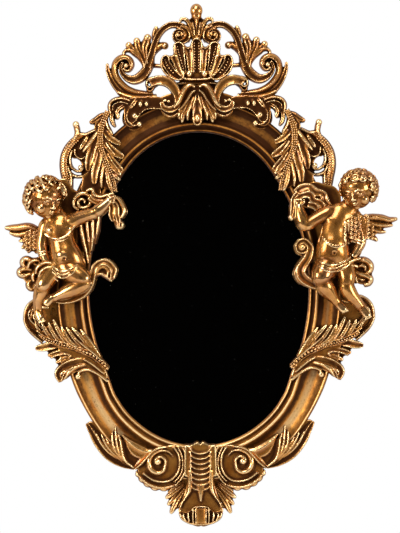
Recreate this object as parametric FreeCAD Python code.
"""Baroque wall mirror: an oval moulded frame with carved and gilded ornaments, glass, back board and hangers.

Row frame: millimetres, +Z up, +X to the viewer's right, +Y towards the wall, origin at the centre of the
bounding box. Places across the front are shares of the drawing grid, which follows the sight oval. Depths are
measured from the frame's flat back towards the viewer.
"""

import FreeCAD, Part
import math
import os

Vector = FreeCAD.Vector

# Sight oval: the visible glass, drawn with four tangent arcs.
sight_half_width = 220.0
sight_half_height = 314.0
end_arc_radius = 175.0
oval_centre_drop = 48.0

# The drawing grid of the carving, tied to the sight oval.
sight_width_in_grid_share = 1.10
sight_height_in_grid_share = 1.57
grid_width = sight_half_width / sight_width_in_grid_share
grid_height = sight_half_height / sight_height_in_grid_share

# Depths.
bumper_height = 8.0
front_reach = 96.0
back_plane_y = (front_reach + bumper_height) / 2 - bumper_height

# Moulding.
moulding_width = 66.0
moulding_height = 34.0
rebate_width = 9.0
rebate_depth = 10.0

# Glass, packing and back board.
glass_thickness = 4.0
board_thickness = 3.0
glass_clearance = 0.5
packing_thickness = rebate_depth - glass_thickness - board_thickness

# Turn buttons and their screws.
button_length = 34.0
button_width = 11.0
button_thickness = 1.5
button_end_margin = 6.0
button_screw_radius = 1.9
button_running_clearance = 0.08
button_face_clearance = 0.2
button_screw_outset = 21.0
button_head_radius = 3.8
button_head_height = 1.6
button_screw_length = 16.0

# Strap hangers with swinging rings.
strap_width = 14.0
strap_length = 52.0
strap_thickness = 1.5
ring_wire_radius = 1.6
ring_loop_radius = 14.0
ring_running_clearance = 0.1
hanger_outset = 33.0
hanger_rise = 150.0
hanger_screw_radius = 1.9
hanger_screw_spacing = 16.0
hanger_first_screw = 26.0
hanger_screw_length = 18.0
hanger_head_radius = 3.6
hanger_head_height = 1.8

# Wall bumpers.
bumper_radius = 9.0
bumper_outset = 33.0
bumper_place_share = 0.78

# How many stations a carved strip is lofted through, and how much narrower its front is than its back.
strip_stations = 9
front_width_share = 0.55
overrun = 5.0


def at(across, up, depth=0.0):
    """A point of the drawing: shares of the grid from the oval's centre, and a depth from the back plane."""
    return Vector(across * grid_width, back_plane_y - depth, up * grid_height - oval_centre_drop)


def outwards(centre, angle, distance, depth=0.0):
    """A point at an angle and distance from an arc's centre, at a depth."""
    turn = math.radians(angle)
    return Vector(
        centre.x + distance * math.cos(turn), back_plane_y - depth, centre.z + distance * math.sin(turn)
    )


# The four arcs of the sight oval.
side_arc_radius = (sight_half_width**2 + sight_half_height**2 - 2 * sight_half_height * end_arc_radius) / (
    2 * (sight_half_width - end_arc_radius)
)
side_centre_offset = side_arc_radius - sight_half_width
end_centre_offset = sight_half_height - end_arc_radius
side_half_angle = math.degrees(math.atan2(end_centre_offset, side_centre_offset))
end_half_angle = 90.0 - side_half_angle


def oval_arcs():
    """Centre, sight radius, middle direction and half angle of each arc: right, top, left, bottom."""
    middle = at(0, 0)
    return [
        (middle - Vector(side_centre_offset, 0, 0), side_arc_radius, 0.0, side_half_angle),
        (middle + Vector(0, 0, end_centre_offset), end_arc_radius, 90.0, end_half_angle),
        (middle + Vector(side_centre_offset, 0, 0), side_arc_radius, 180.0, side_half_angle),
        (middle - Vector(0, 0, end_centre_offset), end_arc_radius, 270.0, end_half_angle),
    ]


RIGHT, TOP, LEFT, BOTTOM = range(4)


def oval_plate(outset, back, front):
    """A flat oval plate that reaches outset beyond the sight edge."""
    edges = []
    for centre, radius, middle, half in oval_arcs():
        reach = radius + outset
        points = [outwards(centre, middle + side * half, reach, back) for side in (-1, 0, 1)]
        edges.append(Part.Arc(*points).toShape())
    return Part.Face(Part.Wire(edges)).extrude(Vector(0, back - front, 0))


def upright_cylinder(centre, radius, back, front):
    """A cylinder along the depth, from one depth to another."""
    start = Vector(centre.x, back_plane_y - back, centre.z)
    return Part.makeCylinder(radius, front - back, start, Vector(0, -1, 0))


# Frame moulding.

# Shares of the moulding's width and height, from the sight edge outwards: single points are joined by lines,
# and a pair of points is an arc's middle and end.
moulding_outline_shares = [
    (0.00, 0.62),
    ((0.05, 0.76), (0.11, 0.66)),
    (0.15, 0.64),
    (0.17, 0.80),
    ((0.24, 0.97), (0.31, 0.82)),
    (0.35, 0.72),
    ((0.61, 0.56), (0.86, 0.76)),
    ((0.92, 1.00), (0.98, 0.80)),
    (1.00, 0.66),
    (1.00, 0.36),
    (0.88, 0.00),
]


def moulding_face(centre, radius, angle):
    """The moulding's section at one end of an arc, with the rebate cut out at the back."""

    def spot(outset_share, height_share):
        return outwards(centre, angle, radius + outset_share * moulding_width, height_share * moulding_height)

    rebate = [
        outwards(centre, angle, radius + rebate_width, 0.0),
        outwards(centre, angle, radius + rebate_width, rebate_depth),
        outwards(centre, angle, radius, rebate_depth),
    ]
    edges = [Part.LineSegment(a, b).toShape() for a, b in zip(rebate, rebate[1:])]
    last = rebate[-1]
    for step in moulding_outline_shares:
        if isinstance(step[0], tuple):
            via, end = spot(*step[0]), spot(*step[1])
            edges.append(Part.Arc(last, via, end).toShape())
        else:
            end = spot(*step)
            edges.append(Part.LineSegment(last, end).toShape())
        last = end
    edges.append(Part.LineSegment(last, rebate[0]).toShape())
    return Part.Face(Part.Wire(edges))


def frame_ring():
    """The oval moulding, turned arc by arc and joined."""
    lengths = []
    for centre, radius, middle, half in oval_arcs():
        section = moulding_face(centre, radius, middle - half)
        lengths.append(section.revolve(centre, Vector(0, -1, 0), 2 * half))
    return lengths[0].multiFuse(lengths[1:]).removeSplitter()


# Carved strips, plates and round bosses.


def spline_through(points):
    """One smooth curve through the points."""
    curve = Part.BSplineCurve()
    curve.interpolate(points)
    return curve


def taper_at(taper_shares, share):
    """A width share between the evenly spaced entries of a taper."""
    place = share * (len(taper_shares) - 1)
    low = min(int(place), len(taper_shares) - 2)
    return taper_shares[low] + (taper_shares[low + 1] - taper_shares[low]) * (place - low)


def strip(route_shares, width, back, front, taper_shares=(1.0, 1.0), front_share=front_width_share):
    """A carved band along a route, flat behind and narrower in front."""
    curve = spline_through([at(across, up, back) for across, up in route_shares])
    first, last = curve.FirstParameter, curve.LastParameter
    sections = []
    for station in range(strip_stations):
        share = station / (strip_stations - 1)
        here = first + (last - first) * share
        point, run = curve.value(here), curve.tangent(here)[0]
        side = Vector(run.z, 0, -run.x).normalize() * (width * taper_at(taper_shares, share) / 2)
        rise = Vector(0, back - front, 0)
        corners = [
            point - side,
            point + side,
            point + side * front_share + rise,
            point - side * front_share + rise,
        ]
        sections.append(Part.makePolygon(corners + corners[:1]))
    return Part.makeLoft(sections, True, False)


def plate(outline_shares, back, front):
    """A carved piece cut from a board: a smooth closed outline through the points."""
    curve = Part.BSplineCurve()
    curve.interpolate([at(across, up, back) for across, up in outline_shares], PeriodicFlag=True)
    return Part.Face(Part.Wire(curve.toShape())).extrude(Vector(0, back - front, 0))


def sharp_plate(outline_shares, back, front):
    """A carved piece with pointed lobes: a closed outline of straight cuts between the points."""
    points = [at(across, up, back) for across, up in outline_shares]
    return Part.Face(Part.makePolygon(points + points[:1])).extrude(Vector(0, back - front, 0))


def boss(centre_shares, radius, back, front, eye_share=0.35, eye_rise_share=0.25):
    """A volute as a round boss with a raised eye."""
    centre = at(*centre_shares)
    eye_front = front + radius * eye_rise_share
    disc = upright_cylinder(centre, radius, back, front)
    return disc.fuse(upright_cylinder(centre, radius * eye_share, back, eye_front))


def limb(start, start_radius, end, end_radius):
    """A tapered round limb with ball ends."""
    axis = end - start
    length = axis.Length
    axis = Vector(axis).normalize()
    lean = (start_radius - end_radius) / length
    slope = math.sqrt(1 - lean**2)
    sideways = axis.cross(Vector(0, 1, 0) if abs(axis.y) < slope else Vector(1, 0, 0)).normalize()

    def spot(along, out):
        return start + axis * along + sideways * out

    def ball_arc(centre_along, radius, from_turn, to_turn):
        turns = (from_turn, (from_turn + to_turn) / 2, to_turn)
        return Part.Arc(
            *[spot(centre_along + radius * math.cos(t), radius * math.sin(t)) for t in turns]
        ).toShape()

    tangent_turn = math.acos(lean)
    edges = [
        ball_arc(0, start_radius, math.pi, tangent_turn),
        Part.LineSegment(
            spot(start_radius * lean, start_radius * slope),
            spot(length + end_radius * lean, end_radius * slope),
        ).toShape(),
        ball_arc(length, end_radius, tangent_turn, 0),
        Part.LineSegment(spot(length + end_radius, 0), spot(-start_radius, 0)).toShape(),
    ]
    return Part.Face(Part.Wire(edges)).revolve(start, axis, 360)


def joined(shapes):
    """Several overlapping shapes as one solid."""
    return shapes[0].multiFuse(shapes[1:]) if len(shapes) > 1 else shapes[0]


# The register of finished pieces, in the order in which they are fitted.
pieces = {}


def fit(name, shape, against):
    """Trims a carved piece so that it seats on the named pieces, and keeps its main body."""
    box = shape.BoundBox
    neighbours = [pieces[other] for other in against if pieces[other].BoundBox.intersect(box)]
    if neighbours:
        shape = shape.cut(neighbours)
    pieces[name] = max(shape.Solids, key=lambda solid: solid.Volume)


def flip(name):
    """The matching piece on the other side."""
    mirrored = pieces[name + "_left"].mirror(Vector(0, 0, 0), Vector(1, 0, 0))
    pieces[name + "_right"] = mirrored


# Crest.
crest_back = 8.0
shell_front = 46.0
shell_outline_shares = [
    (0.05, 2.51),
    (0.08, 2.47),
    (0.16, 2.49),
    (0.225, 2.455),
    (0.25, 2.37),
    (0.33, 2.34),
    (0.36, 2.28),
    (0.31, 2.18),
    (0.23, 2.12),
    (0.15, 2.09),
]
collar_outline_shares = [(0.15, 2.09), (0.15, 2.04)]
collar_front = 52.0
plume_front = 34.0
plume_outline_shares = [
    (0.0, 2.85),
    (0.05, 2.80),
    (0.045, 2.73),
    (0.11, 2.73),
    (0.16, 2.68),
    (0.13, 2.61),
    (0.05, 2.56),
    (0.0, 2.51),
]
drop_leaf_front = 50.0
drop_leaf_outline_shares = [
    (0.05, 2.04),
    (0.09, 1.90),
    (0.16, 1.76),
    (0.18, 1.67),
    (0.12, 1.64),
    (0.07, 1.66),
    (0.0, 1.62),
]


def both_sides(half_outline_shares):
    """A full outline from the points of its right half."""
    left = [(-across, up) for across, up in reversed(half_outline_shares) if across != 0]
    return list(half_outline_shares) + left


def make_crest_centre():
    """Shell, collar, plume and drop leaf, on the frame's centre line."""
    drop_leaf = sharp_plate(both_sides(drop_leaf_outline_shares), crest_back, drop_leaf_front)
    fit("crest_drop_leaf", drop_leaf, ring)
    collar = sharp_plate(both_sides(collar_outline_shares), crest_back, collar_front)
    fit("crest_collar", collar, ring)
    shell = sharp_plate(both_sides(shell_outline_shares), crest_back, shell_front)
    fit("crest_shell", shell, ["crest_collar"])
    plume = sharp_plate(both_sides(plume_outline_shares), crest_back, plume_front)
    fit("crest_plume", plume, ["crest_shell"])


s_scroll_width = 15.0
s_scroll_front = 30.0
s_scroll_route_shares = [
    (-0.14, 2.655),
    (-0.225, 2.645),
    (-0.315, 2.60),
    (-0.37, 2.53),
    (-0.413, 2.44),
    (-0.455, 2.34),
    (-0.51, 2.26),
    (-0.58, 2.19),
    (-0.65, 2.168),
    (-0.73, 2.19),
]
s_scroll_taper_shares = (0.8, 0.95, 0.85, 0.8, 1.0, 1.2, 0.6)
s_volute_centre_shares = (-0.14, 2.56)
s_volute_radius = 18.5
s_volute_front = 34.0
spur_width = 9.0
upper_spur_route_shares = [(-0.375, 2.52), (-0.395, 2.58), (-0.405, 2.64)]
inner_spur_route_shares = [(-0.43, 2.40), (-0.38, 2.45), (-0.30, 2.46)]
strut_width = 9.0
strut_back = 10.0
strut_front = 24.0
strut_route_shares = [(-0.33, 2.25), (-0.40, 2.262), (-0.48, 2.26)]

outer_scroll_width = 12.0
outer_scroll_front = 30.0
outer_scroll_route_shares = [
    (-0.70, 2.35),
    (-0.79, 2.32),
    (-0.825, 2.25),
    (-0.815, 2.17),
    (-0.75, 2.09),
    (-0.66, 2.035),
    (-0.55, 2.005),
    (-0.46, 2.005),
]
horn_width = 16.0
horn_front = 26.0
horn_route_shares = [
    (-0.895, 2.305),
    (-0.91, 2.22),
    (-0.875, 2.12),
    (-0.80, 2.025),
    (-0.70, 1.97),
    (-0.58, 1.94),
    (-0.45, 1.945),
]
horn_taper_shares = (0.6, 1.0, 1.15, 1.15, 1.0, 0.8)
outer_volute_centre_shares = (-0.70, 2.265)
outer_volute_radius = 18.0
outer_volute_front = 32.0

fan_front = 28.0
fan_outline_shares = [
    (-0.515, 2.27),
    (-0.455, 2.38),
    (-0.45, 2.50),
    (-0.48, 2.55),
    (-0.53, 2.49),
    (-0.60, 2.52),
    (-0.62, 2.46),
    (-0.68, 2.49),
    (-0.69, 2.44),
    (-0.74, 2.41),
    (-0.71, 2.34),
    (-0.66, 2.38),
    (-0.58, 2.385),
    (-0.54, 2.34),
    (-0.55, 2.26),
]

bracket_back = 10.0
bracket_front = 44.0
bracket_width = 18.0
bracket_route_shares = [
    (-0.49, 2.065),
    (-0.38, 2.095),
    (-0.28, 2.06),
    (-0.205, 1.98),
    (-0.185, 1.89),
    (-0.22, 1.805),
    (-0.30, 1.785),
]
bracket_taper_shares = (0.75, 1.1, 1.1, 0.9, 0.75, 0.6)
bracket_volute_centre_shares = (-0.30, 1.875)
bracket_volute_radius = 19.0
inner_bracket_width = 12.0
inner_bracket_front = 46.0
inner_bracket_route_shares = [(-0.04, 2.03), (-0.11, 1.99), (-0.15, 1.90), (-0.20, 1.82)]


def make_crest_side():
    """The pierced scrollwork on one side of the shell."""
    s_scroll = joined(
        [
            strip(s_scroll_route_shares, s_scroll_width, crest_back, s_scroll_front, s_scroll_taper_shares),
            boss(s_volute_centre_shares, s_volute_radius, crest_back, s_volute_front),
            strip(upper_spur_route_shares, spur_width, crest_back, fan_front, (1.0, 0.8, 0.3)),
            strip(inner_spur_route_shares, spur_width, crest_back, fan_front, (0.8, 1.2, 1.3)),
            strip(strut_route_shares, strut_width, strut_back, strut_front),
        ]
    )
    fit("crest_s_scroll_left", s_scroll, ["crest_shell", "crest_plume"])
    outer_scroll = joined(
        [
            strip(outer_scroll_route_shares, outer_scroll_width, crest_back, outer_scroll_front),
            strip(horn_route_shares, horn_width, crest_back, horn_front, horn_taper_shares),
            boss(outer_volute_centre_shares, outer_volute_radius, crest_back, outer_volute_front),
        ]
    )
    fit("crest_outer_scroll_left", outer_scroll, ["crest_s_scroll_left"])
    fan = sharp_plate(fan_outline_shares, crest_back, fan_front)
    fit("crest_leaf_fan_left", fan, ["crest_s_scroll_left", "crest_outer_scroll_left"])
    bracket = joined(
        [
            strip(bracket_route_shares, bracket_width, bracket_back, bracket_front, bracket_taper_shares),
            boss(bracket_volute_centre_shares, bracket_volute_radius, bracket_back, bracket_front),
            strip(inner_bracket_route_shares, inner_bracket_width, bracket_back, inner_bracket_front),
        ]
    )
    against = ring + ["crest_shell", "crest_collar", "crest_drop_leaf", "crest_outer_scroll_left"]
    fit("crest_bracket_left", bracket, against)


# Shoulders, upper leaves and side scrolls. The leaves hang over the sight edge, just clear of the glass.
leaf_glass_clearance = 0.5
rocaille_back = 6.0
rocaille_front = 40.0
rocaille_outline_shares = [
    (-0.88, 1.89),
    (-0.84, 1.925),
    (-0.70, 1.93),
    (-0.55, 1.925),
    (-0.40, 1.91),
    (-0.37, 1.84),
    (-0.38, 1.79),
    (-0.50, 1.77),
    (-0.55, 1.72),
    (-0.54, 1.64),
    (-0.60, 1.60),
    (-0.68, 1.61),
    (-0.73, 1.68),
    (-0.72, 1.76),
    (-0.78, 1.79),
    (-0.86, 1.81),
]
upper_leaf_back = rebate_depth + leaf_glass_clearance
upper_leaf_front = 38.0
upper_leaf_rib_front = 46.0
upper_leaf_rib_width = 14.0
upper_leaf_outline_shares = [
    (-0.86, 1.83),
    (-0.95, 1.79),
    (-1.02, 1.74),
    (-1.09, 1.675),
    (-1.02, 1.64),
    (-1.03, 1.59),
    (-1.155, 1.39),
    (-1.09, 1.35),
    (-1.12, 1.20),
    (-1.04, 1.24),
    (-1.035, 1.06),
    (-0.985, 1.12),
    (-0.96, 1.00),
    (-0.87, 0.97),
    (-0.80, 1.02),
    (-0.775, 1.14),
    (-0.755, 1.18),
    (-0.79, 1.27),
    (-0.745, 1.32),
    (-0.81, 1.40),
    (-0.765, 1.48),
    (-0.84, 1.54),
    (-0.85, 1.62),
    (-0.83, 1.72),
]
upper_leaf_rib_route_shares = [
    (-0.90, 1.76),
    (-0.945, 1.66),
    (-0.96, 1.55),
    (-0.954, 1.44),
    (-0.937, 1.34),
    (-0.90, 1.24),
    (-0.86, 1.15),
    (-0.83, 1.05),
]
side_scroll_width = 19.0
side_scroll_back = 6.0
side_scroll_front = 28.0
side_scroll_route_shares = [
    (-1.06, 1.565),
    (-1.16, 1.525),
    (-1.27, 1.465),
    (-1.335, 1.385),
    (-1.352, 1.29),
    (-1.344, 1.19),
    (-1.32, 1.09),
    (-1.295, 0.99),
]
side_companion_width = 9.0
side_companion_route_shares = [
    (-1.27, 1.42),
    (-1.275, 1.32),
    (-1.235, 1.215),
    (-1.17, 1.18),
    (-1.14, 1.20),
]
side_volute_centre_shares = (-1.16, 1.215)
side_volute_radius = 9.0
side_knob_route_shares = [(-1.14, 1.55), (-1.19, 1.61), (-1.215, 1.68)]
side_knob_width = 13.0
side_root_route_shares = [(-1.14, 1.20), (-1.05, 1.17)]


def make_shoulder():
    """Rocaille, upper acanthus and beaded side scroll."""
    crest_side = ["crest_outer_scroll_left", "crest_bracket_left"]
    rocaille = sharp_plate(rocaille_outline_shares, rocaille_back, rocaille_front)
    fit("shoulder_rocaille_left", rocaille, ring + crest_side)
    leaf = joined(
        [
            sharp_plate(upper_leaf_outline_shares, upper_leaf_back, upper_leaf_front),
            strip(upper_leaf_rib_route_shares, upper_leaf_rib_width, upper_leaf_back, upper_leaf_rib_front),
        ]
    )
    fit("upper_acanthus_left", leaf, ring + ["shoulder_rocaille_left"])
    scroll = joined(
        [
            strip(side_scroll_route_shares, side_scroll_width, side_scroll_back, side_scroll_front),
            strip(side_companion_route_shares, side_companion_width, side_scroll_back, side_scroll_front),
            strip(side_knob_route_shares, side_knob_width, side_scroll_back, side_scroll_front),
            boss(side_volute_centre_shares, side_volute_radius, side_scroll_back, side_scroll_front),
            strip(side_root_route_shares, side_companion_width, side_scroll_back, side_scroll_front),
        ]
    )
    fit("side_beaded_scroll_left", scroll, ring + ["upper_acanthus_left"])


# Lower scrolls and leaves.
lower_scroll_width = 21.0
lower_scroll_back = 8.0
lower_scroll_front = 38.0
lower_scroll_route_shares = [
    (-1.52, -0.07),
    (-1.64, -0.10),
    (-1.72, -0.20),
    (-1.715, -0.32),
    (-1.64, -0.43),
    (-1.50, -0.50),
    (-1.32, -0.55),
]
lower_scroll_taper_shares = (0.6, 0.9, 1.0, 1.0, 1.3, 1.7)
lower_leaf_back = rebate_depth + leaf_glass_clearance
lower_leaf_front = 40.0
lower_leaf_rib_front = 46.0
lower_leaf_rib_width = 13.0
lower_leaf_outline_shares = [
    (-0.925, -0.83),
    (-0.94, -0.72),
    (-1.02, -0.55),
    (-1.20, -0.36),
    (-1.19, -0.47),
    (-1.33, -0.35),
    (-1.33, -0.46),
    (-1.50, -0.33),
    (-1.60, -0.38),
    (-1.66, -0.45),
    (-1.63, -0.57),
    (-1.52, -0.60),
    (-1.51, -0.67),
    (-1.42, -0.68),
    (-1.45, -0.80),
    (-1.40, -0.92),
    (-1.33, -0.89),
    (-1.25, -0.80),
    (-1.20, -0.88),
    (-1.15, -0.83),
    (-1.04, -0.82),
]
lower_leaf_rib_route_shares = [
    (-1.62, -0.42),
    (-1.49, -0.50),
    (-1.28, -0.57),
    (-1.10, -0.65),
    (-0.95, -0.78),
]
rib_end_taper_shares = (1.0, 1.0, 0.5)


def make_lower_side():
    """Outer scroll under the cherub's foot, and the beaded lower acanthus."""
    leaf = joined(
        [
            sharp_plate(lower_leaf_outline_shares, lower_leaf_back, lower_leaf_front),
            strip(
                lower_leaf_rib_route_shares,
                lower_leaf_rib_width,
                lower_leaf_back,
                lower_leaf_rib_front,
                rib_end_taper_shares,
            ),
        ]
    )
    fit("lower_acanthus_left", leaf, ring)
    scroll = strip(
        lower_scroll_route_shares,
        lower_scroll_width,
        lower_scroll_back,
        lower_scroll_front,
        lower_scroll_taper_shares,
    )
    fit("lower_outer_scroll_left", scroll, ring + ["lower_acanthus_left"])


# Base.
base_leaf_back = 6.0
base_leaf_front = 42.0
base_leaf_outline_shares = [
    (-1.15, -1.34),
    (-1.08, -1.39),
    (-1.02, -1.44),
    (-0.975, -1.455),
    (-0.93, -1.45),
    (-0.86, -1.38),
    (-0.80, -1.45),
    (-0.77, -1.57),
    (-0.71, -1.70),
    (-0.66, -1.79),
    (-0.82, -1.755),
    (-0.97, -1.66),
    (-1.06, -1.52),
    (-1.11, -1.42),
]
base_scroll_width = 13.0
base_scroll_back = 6.0
base_scroll_front = 46.0
base_scroll_route_shares = [
    (-0.215, -1.56),
    (-0.205, -1.68),
    (-0.22, -1.79),
    (-0.29, -1.885),
    (-0.43, -1.92),
    (-0.57, -1.875),
    (-0.65, -1.82),
]
base_scroll_taper_shares = (0.8, 1.0, 1.1, 1.1, 0.9, 0.5)
base_fold_width = 8.0
base_fold_route_shares = [(-0.67, -1.79), (-0.57, -1.73), (-0.48, -1.62)]
base_web_front = 34.0
base_web_outline_shares = [
    (-0.48, -1.60),
    (-0.36, -1.58),
    (-0.21, -1.56),
    (-0.19, -1.80),
    (-0.21, -1.93),
    (-0.27, -1.99),
    (-0.48, -1.985),
    (-0.60, -1.94),
    (-0.66, -1.83),
    (-0.57, -1.72),
]
base_volute_centre_shares = (-0.41, -1.715)
base_volute_radius = 14.0
base_volute_front = 42.0
spray_back = 8.0
spray_front = 32.0
spray_outline_shares = [
    (-0.18, -1.92),
    (-0.28, -1.975),
    (-0.36, -2.08),
    (-0.33, -2.14),
    (-0.34, -2.19),
    (-0.30, -2.25),
    (-0.26, -2.22),
    (-0.22, -2.14),
    (-0.17, -2.04),
]
pendant_back = 6.0
pendant_front = 54.0
pendant_outline_shares = [
    (0.10, -1.58),
    (0.12, -1.80),
    (0.15, -1.93),
    (0.18, -2.05),
    (0.23, -2.19),
]
base_shell_front = 60.0
base_shell_outline_shares = [
    (0.23, -2.19),
    (0.23, -2.27),
    (0.18, -2.325),
    (0.09, -2.36),
    (0.0, -2.37),
]


def make_base_centre():
    """Scaled pendant and the fluted shell that ends it."""
    pendant = sharp_plate(both_sides(pendant_outline_shares), pendant_back, pendant_front)
    fit("base_pendant", pendant, ring)
    shell = sharp_plate(both_sides(base_shell_outline_shares), pendant_back, base_shell_front)
    fit("base_shell", shell, ring)


def make_base_side():
    """Clasping leaf, C scroll and hanging leaf spray."""
    fit("base_leaf_left", sharp_plate(base_leaf_outline_shares, base_leaf_back, base_leaf_front), ring)
    scroll = joined(
        [
            sharp_plate(base_web_outline_shares, base_scroll_back, base_web_front),
            strip(
                base_scroll_route_shares,
                base_scroll_width,
                base_scroll_back,
                base_scroll_front,
                base_scroll_taper_shares,
            ),
            strip(base_fold_route_shares, base_fold_width, base_scroll_back, base_scroll_front),
            boss(base_volute_centre_shares, base_volute_radius, base_scroll_back, base_volute_front),
        ]
    )
    fit("base_c_scroll_left", scroll, ring + ["base_pendant", "base_leaf_left"])
    spray = sharp_plate(spray_outline_shares, spray_back, spray_front)
    fit("base_spray_left", spray, ["base_pendant", "base_shell", "base_c_scroll_left"])


# Cherubs. Each limb is (start, start radius, end, end radius): places as grid shares with a depth, radii as
# shares of the head's radius. Depths are shares of the front reach.
head_radius = 40.0
left_cherub_limb_shares = {
    "neck": ((-1.47, 0.72, 0.55), 0.45, (-1.42, 0.66, 0.52), 0.50),
    "chest": ((-1.41, 0.60, 0.52), 0.68, (-1.35, 0.44, 0.56), 0.64),
    "belly": ((-1.35, 0.44, 0.56), 0.66, (-1.32, 0.30, 0.56), 0.72),
    "hips": ((-1.42, 0.22, 0.48), 0.58, (-1.28, 0.20, 0.50), 0.60),
    "near_upper_arm": ((-1.27, 0.67, 0.50), 0.34, (-1.10, 0.74, 0.60), 0.27),
    "near_forearm": ((-1.10, 0.74, 0.60), 0.27, (-0.93, 0.87, 0.62), 0.19),
    "far_upper_arm": ((-1.54, 0.63, 0.50), 0.34, (-1.59, 0.43, 0.52), 0.27),
    "far_forearm": ((-1.59, 0.43, 0.52), 0.27, (-1.52, 0.28, 0.62), 0.19),
    "outer_thigh": ((-1.47, 0.20, 0.48), 0.48, (-1.57, 0.00, 0.58), 0.36),
    "outer_shin": ((-1.57, 0.00, 0.58), 0.34, (-1.59, -0.20, 0.48), 0.20),
    "outer_foot": ((-1.59, -0.22, 0.48), 0.20, (-1.60, -0.27, 0.58), 0.16),
    "inner_thigh": ((-1.30, 0.20, 0.50), 0.52, (-1.17, 0.09, 0.68), 0.42),
    "inner_shin": ((-1.17, 0.09, 0.68), 0.38, (-1.44, -0.06, 0.62), 0.22),
    "inner_foot": ((-1.46, -0.07, 0.62), 0.22, (-1.55, -0.12, 0.68), 0.16),
}
left_head_shares = (-1.535, 0.93)
right_cherub_limb_shares = {
    "neck": ((1.52, 0.76, 0.55), 0.45, (1.45, 0.68, 0.52), 0.50),
    "chest": ((1.42, 0.63, 0.52), 0.66, (1.35, 0.46, 0.54), 0.62),
    "belly": ((1.35, 0.46, 0.54), 0.64, (1.32, 0.30, 0.54), 0.68),
    "hips": ((1.42, 0.22, 0.48), 0.56, (1.28, 0.20, 0.50), 0.58),
    "near_upper_arm": ((1.30, 0.72, 0.50), 0.34, (1.13, 0.64, 0.66), 0.27),
    "near_forearm": ((1.13, 0.64, 0.66), 0.26, (1.00, 0.83, 0.62), 0.18),
    "far_upper_arm": ((1.54, 0.64, 0.48), 0.33, (1.60, 0.45, 0.50), 0.27),
    "far_forearm": ((1.60, 0.45, 0.50), 0.26, (1.50, 0.36, 0.62), 0.19),
    "outer_thigh": ((1.42, 0.20, 0.48), 0.50, (1.46, 0.02, 0.62), 0.38),
    "outer_shin": ((1.46, 0.02, 0.62), 0.34, (1.60, -0.18, 0.52), 0.20),
    "outer_foot": ((1.61, -0.20, 0.52), 0.20, (1.65, -0.27, 0.60), 0.16),
    "inner_thigh": ((1.28, 0.20, 0.50), 0.52, (1.22, 0.12, 0.70), 0.44),
    "inner_shin": ((1.22, 0.12, 0.70), 0.36, (1.35, -0.14, 0.56), 0.20),
    "inner_foot": ((1.36, -0.16, 0.56), 0.20, (1.40, -0.25, 0.62), 0.16),
}
right_head_shares = (1.60, 0.99)


def cherub(head_shares, limb_shares):
    """A cherub's head, body, arms and legs as one carving."""
    head_depth = front_reach - head_radius
    parts = [Part.makeSphere(head_radius, at(*head_shares, head_depth))]
    for (sx, sz, sd), start_share, (ex, ez, ed), end_share in limb_shares.values():
        start, end = at(sx, sz, sd * front_reach), at(ex, ez, ed * front_reach)
        parts.append(limb(start, start_share * head_radius, end, end_share * head_radius))
    return joined(parts)


# Wings, by the outline of the left one and of the right one.
wing_back = 14.0
wing_front = 40.0
left_wing_outline_shares = [
    (-1.50, 0.62),
    (-1.60, 0.68),
    (-1.72, 0.685),
    (-1.86, 0.66),
    (-1.96, 0.66),
    (-1.93, 0.58),
    (-1.86, 0.52),
    (-1.78, 0.50),
    (-1.76, 0.42),
    (-1.70, 0.38),
    (-1.60, 0.42),
    (-1.50, 0.50),
]
right_wing_outline_shares = [
    (1.50, 0.62),
    (1.60, 0.70),
    (1.72, 0.72),
    (1.84, 0.70),
    (1.96, 0.705),
    (1.945, 0.63),
    (1.88, 0.57),
    (1.83, 0.50),
    (1.77, 0.46),
    (1.68, 0.48),
    (1.60, 0.50),
    (1.50, 0.50),
]

# Cloth: at the hip, the curl over the glass, the fold under the leg, and the scarf in the hand.
hip_drape_back = 12.0
hip_drape_front = 60.0
left_hip_drape_outline_shares = [
    (-1.48, 0.36),
    (-1.60, 0.34),
    (-1.70, 0.34),
    (-1.81, 0.20),
    (-1.79, 0.14),
    (-1.72, 0.05),
    (-1.62, 0.02),
    (-1.52, 0.08),
]
right_hip_drape_outline_shares = [
    (1.48, 0.40),
    (1.58, 0.34),
    (1.68, 0.30),
    (1.745, 0.22),
    (1.74, 0.08),
    (1.62, 0.02),
    (1.54, 0.06),
]
curl_width = 17.0
curl_back = 36.0
curl_front = 58.0
left_curl_route_shares = [
    (-1.45, -0.11),
    (-1.30, -0.09),
    (-1.16, -0.03),
    (-1.08, 0.06),
    (-1.04, 0.18),
    (-0.99, 0.26),
    (-0.90, 0.285),
    (-0.83, 0.23),
    (-0.84, 0.14),
]
left_curl_taper_shares = (0.8, 1.2, 1.3, 1.0, 0.8, 0.7, 0.8, 0.8, 0.6)
right_curl_route_shares = [
    (1.22, -0.02),
    (1.10, 0.03),
    (1.00, 0.12),
    (1.02, 0.22),
    (1.09, 0.30),
    (1.10, 0.42),
]
right_curl_taper_shares = (0.7, 1.0, 1.2, 0.9, 0.9, 0.8)
right_curl_centre_shares = (1.035, 0.41)
right_curl_radius = 18.0
scarf_width = 15.0
scarf_back = 34.0
scarf_front = 60.0
left_scarf_route_shares = [
    (-1.26, 0.85),
    (-1.14, 0.94),
    (-1.02, 0.97),
    (-0.91, 0.94),
    (-0.86, 0.83),
    (-0.84, 0.72),
    (-0.795, 0.63),
]
left_scarf_taper_shares = (1.2, 1.6, 1.3, 1.3, 1.3, 1.0, 0.5)
right_scarf_route_shares = [
    (1.26, 0.88),
    (1.16, 0.93),
    (1.05, 0.96),
    (0.99, 0.88),
    (0.975, 0.74),
]
right_scarf_taper_shares = (1.0, 1.7, 1.5, 1.2, 0.9)


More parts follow.
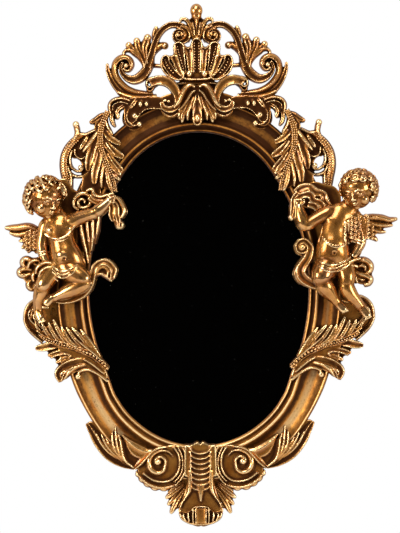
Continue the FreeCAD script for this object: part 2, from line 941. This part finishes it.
def make_cherub(side, head_shares, limb_shares, wing_shares, hip_shares, curl, scarf_route, scarf_taper):
    """One cherub with its wing and cloths, fitted to the carving around it."""
    around = ring + [
        name + side
        for name in ("upper_acanthus", "side_beaded_scroll", "lower_acanthus", "lower_outer_scroll")
    ]
    body = "cherub" + side
    fit(body, cherub(head_shares, limb_shares), around)
    fit("cherub_wing" + side, sharp_plate(wing_shares, wing_back, wing_front), around + [body])
    hip_drape = plate(hip_shares, hip_drape_back, hip_drape_front)
    fit("hip_drape" + side, hip_drape, around + [body, "cherub_wing" + side])
    fit("curl_drape" + side, curl, around + [body, "hip_drape" + side])
    scarf = strip(scarf_route, scarf_width, scarf_back, scarf_front, scarf_taper)
    fit("hand_scarf" + side, scarf, around + [body, "curl_drape" + side])


# Glass, boards and hardware.


def make_glazing():
    """Glass, packing sheet and back board, stacked in the rebate."""
    outset = rebate_width - glass_clearance
    packing_front = board_thickness + packing_thickness
    pieces["back_board"] = oval_plate(outset, 0, board_thickness)
    pieces["glass_packing"] = oval_plate(outset, board_thickness, packing_front)
    pieces["mirror_glass"] = oval_plate(outset, packing_front, rebate_depth)


# Which arc each turn button sits on, and its direction from that arc's middle as a share of the half angle.
button_place_shares = [(TOP, 0.55), (LEFT, 0.1), (BOTTOM, -0.55), (BOTTOM, 0.55), (RIGHT, -0.1), (TOP, -0.55)]


def screw(centre, shank_radius, length, head_radius, head_back, head_height):
    """A pan-headed screw driven from behind, with its head seated at a depth behind the back plane."""
    shank = upright_cylinder(centre, shank_radius, head_back, length + head_back)
    head = upright_cylinder(centre, head_radius, head_back - head_height, head_back)
    return shank.fuse(head)


def make_turn_buttons():
    """Six buttons that swivel on their screws and hold the back board in."""
    screws = []
    under_head = -(button_thickness + 2 * button_face_clearance)
    for number, (arc, share) in enumerate(button_place_shares, start=1):
        centre, radius, middle, half = oval_arcs()[arc]
        angle = middle + share * half
        pivot = outwards(centre, angle, radius + button_screw_outset)
        inward = (outwards(centre, angle, radius) - pivot).normalize()
        side = Vector(-inward.z, 0, inward.x) * (button_width / 2)
        back = -button_face_clearance - button_thickness
        lift = Vector(0, -back, 0)
        tail = pivot - inward * button_end_margin + lift
        nose = pivot + inward * (button_length - button_end_margin) + lift
        round_in = inward * (button_width / 2)
        edges = [
            Part.LineSegment(tail + round_in + side, nose - round_in + side).toShape(),
            Part.Arc(nose - round_in + side, nose, nose - round_in - side).toShape(),
            Part.LineSegment(nose - round_in - side, tail + round_in - side).toShape(),
            Part.Arc(tail + round_in - side, tail, tail + round_in + side).toShape(),
        ]
        strip_of_steel = Part.Face(Part.Wire(edges)).extrude(Vector(0, -button_thickness, 0))
        hole_radius = button_screw_radius + button_running_clearance
        hole = upright_cylinder(pivot, hole_radius, back - overrun, overrun)
        pieces[f"turn_button_{number}"] = strip_of_steel.cut(hole)
        screws.append(
            screw(
                pivot,
                button_screw_radius,
                button_screw_length,
                button_head_radius,
                under_head,
                button_head_height,
            )
        )
        print(f"turn_button_{number} pivot", [round(value, 3) for value in pivot])
    pieces["turn_button_screws"] = Part.Compound(screws)


def hanger_axis(side):
    """Where a hanger ring's bar lies, on the left (-1) or right (1)."""
    centre, radius, _, _ = oval_arcs()[RIGHT]
    reach = math.sqrt((radius + hanger_outset) ** 2 - hanger_rise**2)
    across = side * (centre.x + reach)
    depth = -(ring_wire_radius + ring_running_clearance + strap_thickness)
    return Vector(across, back_plane_y - depth, centre.z + hanger_rise)


def make_hangers():
    """Strap hangers screwed to the back, each folded round the bar of a D ring."""
    screws = []
    barrel_radius = ring_wire_radius + ring_running_clearance + strap_thickness
    for side, word in ((-1, "left"), (1, "right")):
        axis = hanger_axis(side)
        strap_left = axis - Vector(strap_width / 2, 0, 0)
        barrel = Part.makeCylinder(barrel_radius, strap_width, strap_left, Vector(1, 0, 0))
        leaf_corner = strap_left + Vector(0, barrel_radius - strap_thickness, -strap_length)
        leaf_corner.y = back_plane_y
        leaf = Part.makeBox(strap_width, strap_thickness, strap_length, leaf_corner)
        bore = Part.makeCylinder(
            ring_wire_radius + ring_running_clearance,
            strap_width + 2 * overrun,
            strap_left - Vector(overrun, 0, 0),
            Vector(1, 0, 0),
        )
        strap = barrel.fuse(leaf).cut(bore)
        for row in range(2):
            drop = hanger_first_screw + row * hanger_screw_spacing
            spot = axis - Vector(0, 0, drop)
            strap = strap.cut(upright_cylinder(spot, hanger_screw_radius, -barrel_radius * 2, overrun))
            screws.append(
                screw(
                    spot,
                    hanger_screw_radius,
                    hanger_screw_length,
                    hanger_head_radius,
                    -strap_thickness,
                    hanger_head_height,
                )
            )
        pieces["hanger_strap_" + word] = strap.removeSplitter()
        pieces["hanger_ring_" + word] = d_ring(axis)
        print("hanger_ring_" + word, "axis", [round(value, 3) for value in axis])
    pieces["hanger_screws"] = Part.Compound(screws)


def d_ring(axis):
    """A D of round wire that hangs from its straight bar."""
    half = Vector(ring_loop_radius, 0, 0)
    bar = Part.makeCylinder(ring_wire_radius, 2 * ring_loop_radius, axis - half, Vector(1, 0, 0))
    loop_section = Part.Face(Part.Wire(Part.Circle(axis + half, Vector(0, 0, 1), ring_wire_radius).toShape()))
    loop = loop_section.revolve(axis, Vector(0, 1, 0), 180)
    corners = [Part.makeSphere(ring_wire_radius, axis + half), Part.makeSphere(ring_wire_radius, axis - half)]
    return joined([bar, loop] + corners)


def make_bumpers():
    """Two round pads that hold the frame's foot off the wall."""
    centre, radius, middle, half = oval_arcs()[BOTTOM]
    pads = []
    for side in (-1, 1):
        spot = outwards(centre, middle + side * half * bumper_place_share, radius + bumper_outset)
        pads.append(upright_cylinder(spot, bumper_radius, -bumper_height, 0))
        print("wall bumper at", [round(value, 3) for value in spot])
    pieces["wall_bumpers"] = Part.Compound(pads)


def drill_frame():
    """Pilot holes for the screws in the frame's back."""
    pieces["frame_moulding"] = pieces["frame_moulding"].cut(
        pieces["turn_button_screws"].Solids + pieces["hanger_screws"].Solids
    )


ring = ["frame_moulding"]
pieces["frame_moulding"] = frame_ring()
make_crest_centre()
make_crest_side()
make_shoulder()
make_lower_side()
make_base_centre()
make_base_side()
for one_side in (
    "crest_s_scroll",
    "crest_outer_scroll",
    "crest_leaf_fan",
    "crest_bracket",
    "shoulder_rocaille",
    "upper_acanthus",
    "side_beaded_scroll",
    "lower_acanthus",
    "lower_outer_scroll",
    "base_leaf",
    "base_c_scroll",
    "base_spray",
):
    flip(one_side)
left_curl = strip(left_curl_route_shares, curl_width, curl_back, curl_front, left_curl_taper_shares)
right_curl = joined(
    [
        strip(right_curl_route_shares, curl_width, curl_back, curl_front, right_curl_taper_shares),
        boss(right_curl_centre_shares, right_curl_radius, curl_back, curl_front),
    ]
)
make_cherub(
    "_left",
    left_head_shares,
    left_cherub_limb_shares,
    left_wing_outline_shares,
    left_hip_drape_outline_shares,
    left_curl,
    left_scarf_route_shares,
    left_scarf_taper_shares,
)
make_cherub(
    "_right",
    right_head_shares,
    right_cherub_limb_shares,
    right_wing_outline_shares,
    right_hip_drape_outline_shares,
    right_curl,
    right_scarf_route_shares,
    right_scarf_taper_shares,
)
make_glazing()
make_turn_buttons()
make_hangers()
make_bumpers()
drill_frame()

os.makedirs("parts", exist_ok=True)
for name, shape in sorted(pieces.items()):
    shape.exportStep(f"parts/{name}.step")
    box = shape.BoundBox
    print(
        f"{name:26s} solids {len(shape.Solids)} valid {shape.isValid()} volume {shape.Volume:12.0f} mm3",
        [round(v) for v in (box.XMin, box.XMax, box.YMin, box.YMax, box.ZMin, box.ZMax)],
    )
